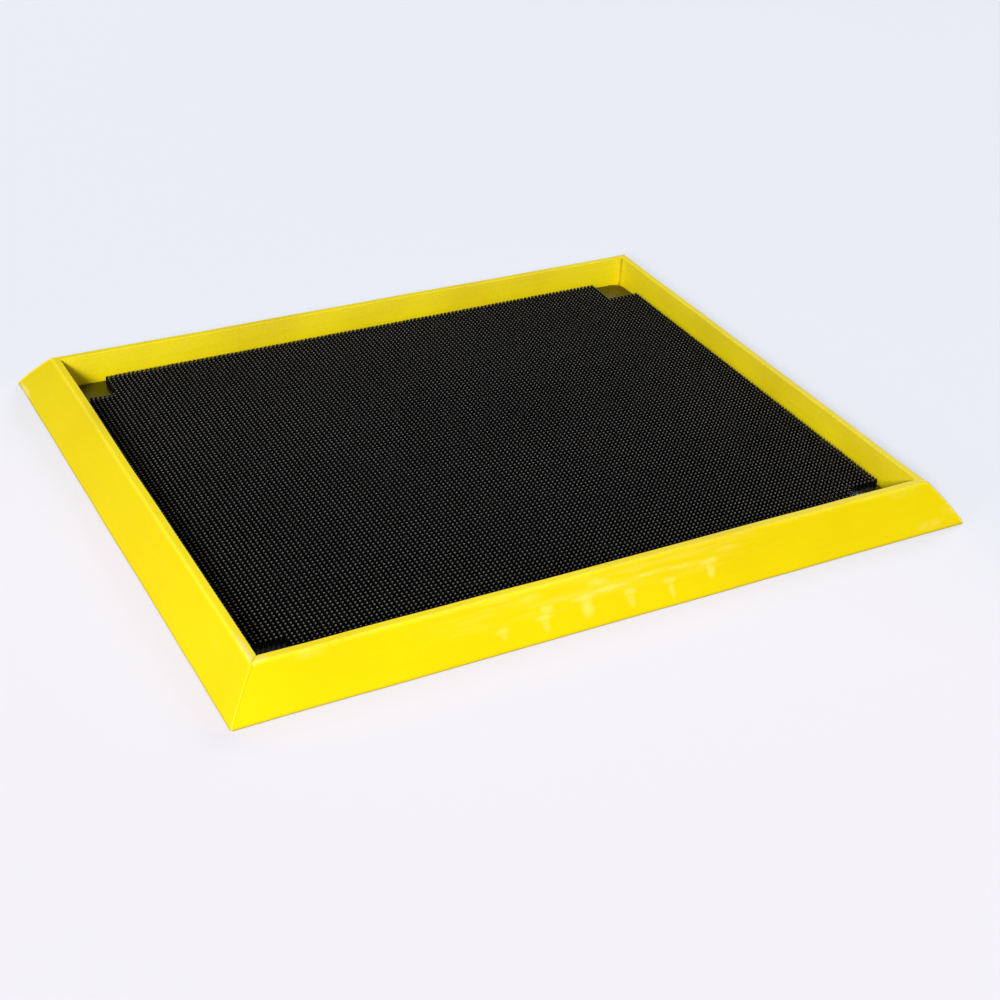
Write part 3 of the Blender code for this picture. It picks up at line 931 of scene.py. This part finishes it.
def seal_outline(floor_height, hollow):
    """A hollow fillet between a wall at 0 and a floor at this height, clear of both by the contact gap."""
    seals = settings("seals")
    gap = seals.contact_gap
    points = [Vector((gap, floor_height + gap))]
    for step in range(ARC_STEPS + 1):
        share = step / ARC_STEPS
        drawn = 4 * hollow * share * (1 - share) / DIAGONAL
        across = gap + seals.leg * (1 - share) - drawn
        up = gap + seals.leg * share - drawn
        points.append(Vector((across, floor_height + up)))
    return points


class SPILLTRAY_OT_seals(bpy.types.Operator):
    """Build the fillets that seal the basin"""

    bl_idname = "spill_tray.seals"
    bl_label = "Seals"

    def execute(self, context):
        seals = settings("seals")
        floor = FLOOR_SHEET[1].z
        for quarter, (name, x, y) in enumerate(SIDES):
            half_length = INNER_HALF[0] if y else INNER_HALF[1]
            stations = round(2 * half_length / STATION_SPACING)
            rings = []
            for station in range(stations + 1):
                share = 2 * station / stations - 1
                wave = drift(share * half_length, quarter + FLOOR_SEAL_SEED, FLOOR_SEAL_WAVE)
                strayed = seals.wander * (1 + wave) / 2
                outline = seal_outline(floor, seals.hollow + strayed)
                rings.append([(share * (half_length - across), across, up) for across, up in outline])
            matrix = placed(x * INNER_HALF[0], y * INNER_HALF[1], quarter * QUARTER_TURN)
            seal = lofted(f"floor_bead_{name}", rings, SIDE_ON, matrix)
            dress(seal, "seal_pvc", "tray", f"floor_seal_{name}")

        foot = floor + seals.leg + 2 * seals.contact_gap
        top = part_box("corner_seal_front_left")[1].z
        stations = round((top - foot) / CORNER_RING_SPACING)
        for quarter, (name, x, y) in enumerate(CORNERS):
            rings = []
            for station in range(stations + 1):
                height = foot + (top - foot) * station / stations
                wave = drift(height, quarter + CORNER_SEAL_SEED, CORNER_SEAL_WAVE)
                strayed = seals.wander * (1 + wave) / 2
                rings.append([(a, b, height) for a, b in seal_outline(0.0, seals.hollow + strayed)])
            matrix = placed(x * INNER_HALF[0], y * INNER_HALF[1], quarter * QUARTER_TURN)
            seal = lofted(f"corner_bead_{name}", rings, FROM_ABOVE, matrix)
            dress(seal, "seal_pvc", "tray", f"corner_seal_{name}")
        return {"FINISHED"}


def plate_ring(half, radius, shrink, height):
    """A rectangle with rounded corners at this height, drawn in by this much."""
    x = half.x - shrink
    y = half.y - shrink
    corners = [(-x, -y), (x, -y), (x, y), (-x, y)]
    return [(*point, height) for point in rounded([(*corner, radius - shrink) for corner in corners])]


def plate(name, low, high, radius, top_edge, foot_edge):
    """A flat plate between two corners of its box, with rounded corners and rounded edges."""
    half = (high - low) / 2
    rings = []
    for step in range(ARC_STEPS + 1):
        angle = QUARTER_TURN * step / ARC_STEPS
        rings.append(plate_ring(half, radius, foot_edge * (1 - math.sin(angle)),
                                low.z + foot_edge * (1 - math.cos(angle))))
    for step in range(ARC_STEPS + 1):
        angle = QUARTER_TURN * step / ARC_STEPS
        rings.append(plate_ring(half, radius, top_edge * (1 - math.cos(angle)),
                                high.z - top_edge * (1 - math.sin(angle))))
    return lofted(name, rings, FROM_ABOVE)


class SPILLTRAY_OT_floor_sheet(bpy.types.Operator):
    """Build the PVC sheet under the mat and the rails"""

    bl_idname = "spill_tray.floor_sheet"
    bl_label = "Floor sheet"

    def execute(self, context):
        seals = settings("seals")
        sheet = plate("basin_floor", *FLOOR_SHEET, seals.sheet_corner, seals.sheet_edge, seals.sheet_edge)
        dress(sheet, "sheet_pvc", "tray", "floor_sheet")
        return {"FINISHED"}


# Finger mat


class SPILLTRAY_OT_mat_base(bpy.types.Operator):
    """Build the base of the moulded mat"""

    bl_idname = "spill_tray.mat_base"
    bl_label = "Mat base"

    def execute(self, context):
        mat = settings("mat")
        low, high = MAT_BOX
        high = Vector((high.x, high.y, low.z + mat.base_thickness))
        base = plate("mat_base", low, high, mat.corner_radius, mat.edge_radius, mat.foot_radius)
        dress(base, "mat_rubber", "mat", "scraper_mat")
        return {"FINISHED"}


# A finger's sides, and its height and then radius, as shares of the whole, at each ring from root to tip
FINGER_SIDES = 8
FINGER_RINGS = ((0.0, 1.30), (0.14, 1.0), (0.80, 0.92), (0.945, 0.66), (1.0, 0.20))


# Highest value of a curve, above the flared root, and the repeats of the fingers' broad lean in a metre
CURVE_TOP = 2.0
SWAY_SCALE = 9.0


def set_curve(socket, points):
    """Makes the curve node that gives this socket run straight from point to point."""
    node = socket.node
    curve = node.mapping.curves[0]
    while len(curve.points) < len(points):
        curve.points.new(0.5, 0.5)
    for spot, place in zip(curve.points, points):
        spot.location = place
        spot.handle_type = "VECTOR"
    node.mapping.clip_max_y = CURVE_TOP
    node.mapping.update()


def finger_shape(tree, given):
    """One finger: a flared root, a slightly tapered shank and a domed tip."""
    steps = len(FINGER_RINGS) - 1
    post = add(tree, "GeometryNodeMeshCylinder",
               {"Vertices": FINGER_SIDES, "Side Segments": steps, "Radius": 1.0, "Depth": 1.0}, "Mesh",
               fill_type="NGON")
    place = add(tree, "GeometryNodeInputPosition")
    x, y, z = (add(tree, "ShaderNodeSeparateXYZ", (place,), axis) for axis in "XYZ")
    ring = add(tree, "ShaderNodeMath", (z, 0.5), operation="ADD")
    rise = add(tree, "ShaderNodeFloatCurve", {"Value": ring})
    set_curve(rise, [(i / steps, height) for i, (height, _) in enumerate(FINGER_RINGS)])
    swell = add(tree, "ShaderNodeFloatCurve", {"Value": ring})
    set_curve(swell, [(i / steps, radius) for i, (_, radius) in enumerate(FINGER_RINGS)])
    sunk = add(tree, "ShaderNodeMath", (given["Root Sink"], -1.0), operation="MULTIPLY")
    height = add(tree, "ShaderNodeMapRange", (rise, 0.0, 1.0, sunk, given["Finger Height"]))
    radius = add(tree, "ShaderNodeMath", (swell, given["Finger Radius"]), operation="MULTIPLY")
    across = add(tree, "ShaderNodeMath", (x, radius), operation="MULTIPLY")
    along = add(tree, "ShaderNodeMath", (y, radius), operation="MULTIPLY")
    shaped = add(tree, "ShaderNodeCombineXYZ", (across, along, height))
    post = add(tree, "GeometryNodeStoreNamedAttribute",
               {"Geometry": post, "Name": "finger_share", "Value": rise}, data_type="FLOAT", domain="POINT")
    return add(tree, "GeometryNodeSetPosition", {"Geometry": post, "Position": shaped})


def finger_field_tree():
    """Rows of fingers on a square lattice, less the plain corners, each with its own lean and wear."""
    tree = bpy.data.node_groups.new("finger_field", "GeometryNodeTree")
    given = tree_inputs(tree, {"Columns": "Int", "Rows": "Int", "Width": "Float", "Depth": "Float",
                               "Centre": "Vector", "Notch X": "Float", "Notch Y": "Float",
                               "Finger Height": "Float", "Finger Radius": "Float", "Root Sink": "Float",
                               "Shortest": "Float", "Sway": "Float", "Sway Scale": "Float",
                               "Jitter": "Float", "Seed": "Int", "Material": "Material"})
    lattice = add(tree, "GeometryNodeMeshGrid",
                  {"Size X": given["Width"], "Size Y": given["Depth"], "Vertices X": given["Columns"],
                   "Vertices Y": given["Rows"]}, "Mesh")
    lattice = add(tree, "GeometryNodeTransform", {"Geometry": lattice, "Translation": given["Centre"]})
    place = add(tree, "GeometryNodeInputPosition")
    from_middle = add(tree, "ShaderNodeVectorMath", (place,), operation="ABSOLUTE")
    x, y = (add(tree, "ShaderNodeSeparateXYZ", (from_middle,), axis) for axis in "XY")
    past_x = add(tree, "ShaderNodeMath", (x, given["Notch X"]), operation="GREATER_THAN")
    past_y = add(tree, "ShaderNodeMath", (y, given["Notch Y"]), operation="GREATER_THAN")
    plain = add(tree, "ShaderNodeMath", (past_x, past_y), operation="MULTIPLY")
    lattice = add(tree, "GeometryNodeDeleteGeometry", {"Geometry": lattice, "Selection": plain})
    tone = add(tree, "FunctionNodeRandomValue", {"Seed": given["Seed"]}, data_type="FLOAT")
    lattice = add(tree, "GeometryNodeStoreNamedAttribute",
                  {"Geometry": lattice, "Name": "finger_tone", "Value": tone},
                  data_type="FLOAT", domain="POINT")

    drifting = add(tree, "ShaderNodeTexNoise",
                   {"Vector": place, "Scale": given["Sway Scale"], "Detail": 2.0}, "Color")
    drifting = add(tree, "ShaderNodeVectorMath", (drifting, NOISE_MIDDLE), operation="SUBTRACT")
    twice = add(tree, "ShaderNodeMath", (given["Sway"], 2.0), operation="MULTIPLY")
    sway = add(tree, "ShaderNodeVectorMath", {"Vector": drifting, "Scale": twice}, operation="SCALE")
    own = add(tree, "FunctionNodeRandomValue",
              {"Min": (-1.0, -1.0, -1.0), "Max": (1.0, 1.0, 1.0), "Seed": given["Seed"]},
              data_type="FLOAT_VECTOR")
    own = add(tree, "ShaderNodeVectorMath", {"Vector": own, "Scale": given["Jitter"]}, operation="SCALE")
    lean = add(tree, "ShaderNodeVectorMath", (sway, own), operation="ADD")
    lean = add(tree, "FunctionNodeEulerToRotation", {"Euler": lean})
    worn = add(tree, "FunctionNodeRandomValue",
               {"Min": given["Shortest"], "Max": 1.0, "Seed": given["Seed"]}, data_type="FLOAT")
    size = add(tree, "ShaderNodeCombineXYZ", (1.0, 1.0, worn))

    field = add(tree, "GeometryNodeInstanceOnPoints",
                {"Points": lattice, "Instance": finger_shape(tree, given), "Rotation": lean, "Scale": size})
    field = add(tree, "GeometryNodeRealizeInstances", {"Geometry": field})
    field = add(tree, "GeometryNodeSetShadeSmooth", {"Geometry": field})
    field = add(tree, "GeometryNodeSetMaterial", {"Geometry": field, "Material": given["Material"]})
    add(tree, "NodeGroupOutput", {"Geometry": field})
    return tree


def finger_gaps(mat_half, mat):
    """How many pitches fit across the mat."""
    return math.floor(2 * (mat_half - mat.least_margin) / mat.finger_pitch)


class SPILLTRAY_OT_mat_fingers(bpy.types.Operator):
    """Grow the field of fingers on the mat, in bands that keep each mesh to a workable size"""

    bl_idname = "spill_tray.mat_fingers"
    bl_label = "Mat fingers"

    def execute(self, context):
        mat = settings("mat")
        base_top = MAT_BOX[0].z + mat.base_thickness
        pitch = mat.finger_pitch
        across = finger_gaps(MAT_BOX[1].x, mat)
        along = finger_gaps(MAT_BOX[1].y, mat)
        plain = (mat.notch_fingers - 0.5) * pitch
        tree = finger_field_tree()
        first = 0
        while first <= along:
            rows = min(mat.band_rows, along + 1 - first)
            middle = (first + (rows - 1) / 2 - along / 2) * pitch
            name = f"mat_fingers_{first // mat.band_rows + 1}"
            band = grown(name, tree, {
                "Columns": across + 1, "Rows": rows, "Width": across * pitch, "Depth": (rows - 1) * pitch,
                "Centre": (0.0, middle, base_top), "Notch X": across * pitch / 2 - plain,
                "Notch Y": along * pitch / 2 - plain, "Finger Height": MAT_BOX[1].z - base_top,
                "Finger Radius": mat.finger_diameter / 2, "Root Sink": mat.root_sink,
                "Shortest": mat.shortest, "Sway": mat.sway, "Sway Scale": SWAY_SCALE, "Jitter": mat.jitter,
                "Seed": mat.seed + first, "Material": finish_named("mat_fingers"),
            })
            dress(band, "mat_fingers", "mat", slot="mat_rubber")
            first += rows
        return {"FINISHED"}


# Stage


SENSOR_WIDTH = 36.0
NEAR_CLIP = 0.05
FAR_CLIP = 60.0
# The paper is a wide disc, just far enough under the tray to keep clear of it
PAPER_SIDES = 96
PAPER_RADIUS = 14.0
PAPER_DROP = 0.0004


def camera_axes(stage):
    """The camera's right, up and back directions from its azimuth, elevation and roll."""
    level = math.cos(stage.elevation)
    back = Vector((math.sin(stage.azimuth) * level, -math.cos(stage.azimuth) * level,
                   math.sin(stage.elevation)))
    right = Vector((math.cos(stage.azimuth), math.sin(stage.azimuth), 0.0))
    up = back.cross(right)
    turned = right * math.cos(stage.roll) + up * math.sin(stage.roll)
    return turned, back.cross(turned), back


def add_camera(stage):
    data = bpy.data.cameras.new("camera")
    data.lens = stage.lens
    data.sensor_width = SENSOR_WIDTH
    data.clip_start = NEAR_CLIP
    data.clip_end = FAR_CLIP
    camera = bpy.data.objects.new("camera", data)
    right, up, back = camera_axes(stage)
    camera.matrix_world = Matrix((right, up, back)).transposed().to_4x4()
    camera.location = Vector(stage.aim) + back * stage.distance
    bpy.context.scene.collection.objects.link(camera)
    bpy.context.scene.camera = camera


def add_softbox(name, place, size, level):
    """A square soft light at this place, facing the tray, that gives a white card there this brightness."""
    data = bpy.data.lights.new(name, "AREA")
    data.shape = "SQUARE"
    data.size = size
    data.energy = level * math.pi ** 2 * place.length_squared
    light = bpy.data.objects.new(name, data)
    light.location = place
    light.rotation_euler = place.to_track_quat("Z", "Y").to_euler()
    light.visible_camera = False
    bpy.context.scene.collection.objects.link(light)


def add_room(stage):
    """Soft light from all round, stronger from above and on the side of the key light."""
    world = bpy.data.worlds.new("studio_room")
    world.use_nodes = True
    tree = world.node_tree
    tree.nodes.clear()
    direction = add(tree, "ShaderNodeTexCoord", output="Generated")
    height = add(tree, "ShaderNodeSeparateXYZ", (direction,), "Z")
    overhead = stage.horizon * stage.zenith_share
    level = add(tree, "ShaderNodeMapRange", (height, 0.0, 1.0, stage.horizon, overhead))
    toward = Vector((*stage.key_light[:2], 0.0)).normalized() * stage.room_swing
    swing = add(tree, "ShaderNodeVectorMath", (direction, toward), "Value", operation="DOT_PRODUCT")
    strength = add(tree, "ShaderNodeMath", (swing, level, level), operation="MULTIPLY_ADD")
    room = add(tree, "ShaderNodeBackground", {"Color": stage.room, "Strength": strength})
    add(tree, "ShaderNodeOutputWorld", {"Surface": room})
    bpy.context.scene.world = world


class SPILLTRAY_OT_stage(bpy.types.Operator):
    """Set up the paper floor, the soft light and the camera"""

    bl_idname = "spill_tray.stage"
    bl_label = "Studio stage"

    def execute(self, context):
        stage = settings("stage")
        work = bmesh.new()
        bmesh.ops.create_circle(work, cap_ends=True, segments=PAPER_SIDES, radius=PAPER_RADIUS)
        floor = add_piece("studio_floor", work, Matrix.Translation((0.0, 0.0, -PAPER_DROP)))
        floor.data.materials.append(finish_named("paper"))
        for name, place, size, level in softboxes(stage):
            add_softbox(name + "_light", place, size, level)
        add_room(stage)
        context.scene.view_settings.view_transform = "Standard"
        add_camera(stage)
        return {"FINISHED"}


class SPILLTRAY_PT_build(bpy.types.Panel):
    """Lists the steps that build the tray"""

    bl_label = "Spill Containment Tray"
    bl_idname = "SPILLTRAY_PT_build"
    bl_space_type = "VIEW_3D"
    bl_region_type = "UI"
    bl_category = "Spill Tray"

    def draw(self, context):
        for step in STEPS:
            self.layout.operator(step.bl_idname)
        for group, kind in GROUPS.items():
            box = self.layout.box()
            box.label(text=group.capitalize())
            for name in kind.__annotations__:
                box.prop(settings(group), name)


STEPS = (
    SPILLTRAY_OT_stage,
    SPILLTRAY_OT_rails,
    SPILLTRAY_OT_mitre_welds,
    SPILLTRAY_OT_floor_sheet,
    SPILLTRAY_OT_seals,
    SPILLTRAY_OT_mat_base,
    SPILLTRAY_OT_mat_fingers,
)
GROUPS = {
    "rails": SpillTrayRails,
    "welds": SpillTrayWelds,
    "seals": SpillTraySeals,
    "mat": SpillTrayMat,
    "finish": SpillTrayFinish,
    "stage": SpillTrayStage,
}


def register():
    for kind in (*GROUPS.values(), *STEPS, SPILLTRAY_PT_build):
        bpy.utils.register_class(kind)
    for group, kind in GROUPS.items():
        setattr(bpy.types.Scene, "spill_tray_" + group, PointerProperty(type=kind))


def unregister():
    for group in GROUPS:
        delattr(bpy.types.Scene, "spill_tray_" + group)
    for kind in reversed((*GROUPS.values(), *STEPS, SPILLTRAY_PT_build)):
        bpy.utils.unregister_class(kind)


def main():
    register()
    bpy.ops.spill_tray.stage()
    bpy.ops.spill_tray.rails()
    bpy.ops.spill_tray.mitre_welds()
    bpy.ops.spill_tray.floor_sheet()
    bpy.ops.spill_tray.seals()
    bpy.ops.spill_tray.mat_base()
    bpy.ops.spill_tray.mat_fingers()
    bpy.context.view_layer.update()


if __name__ == "__main__":
    main()
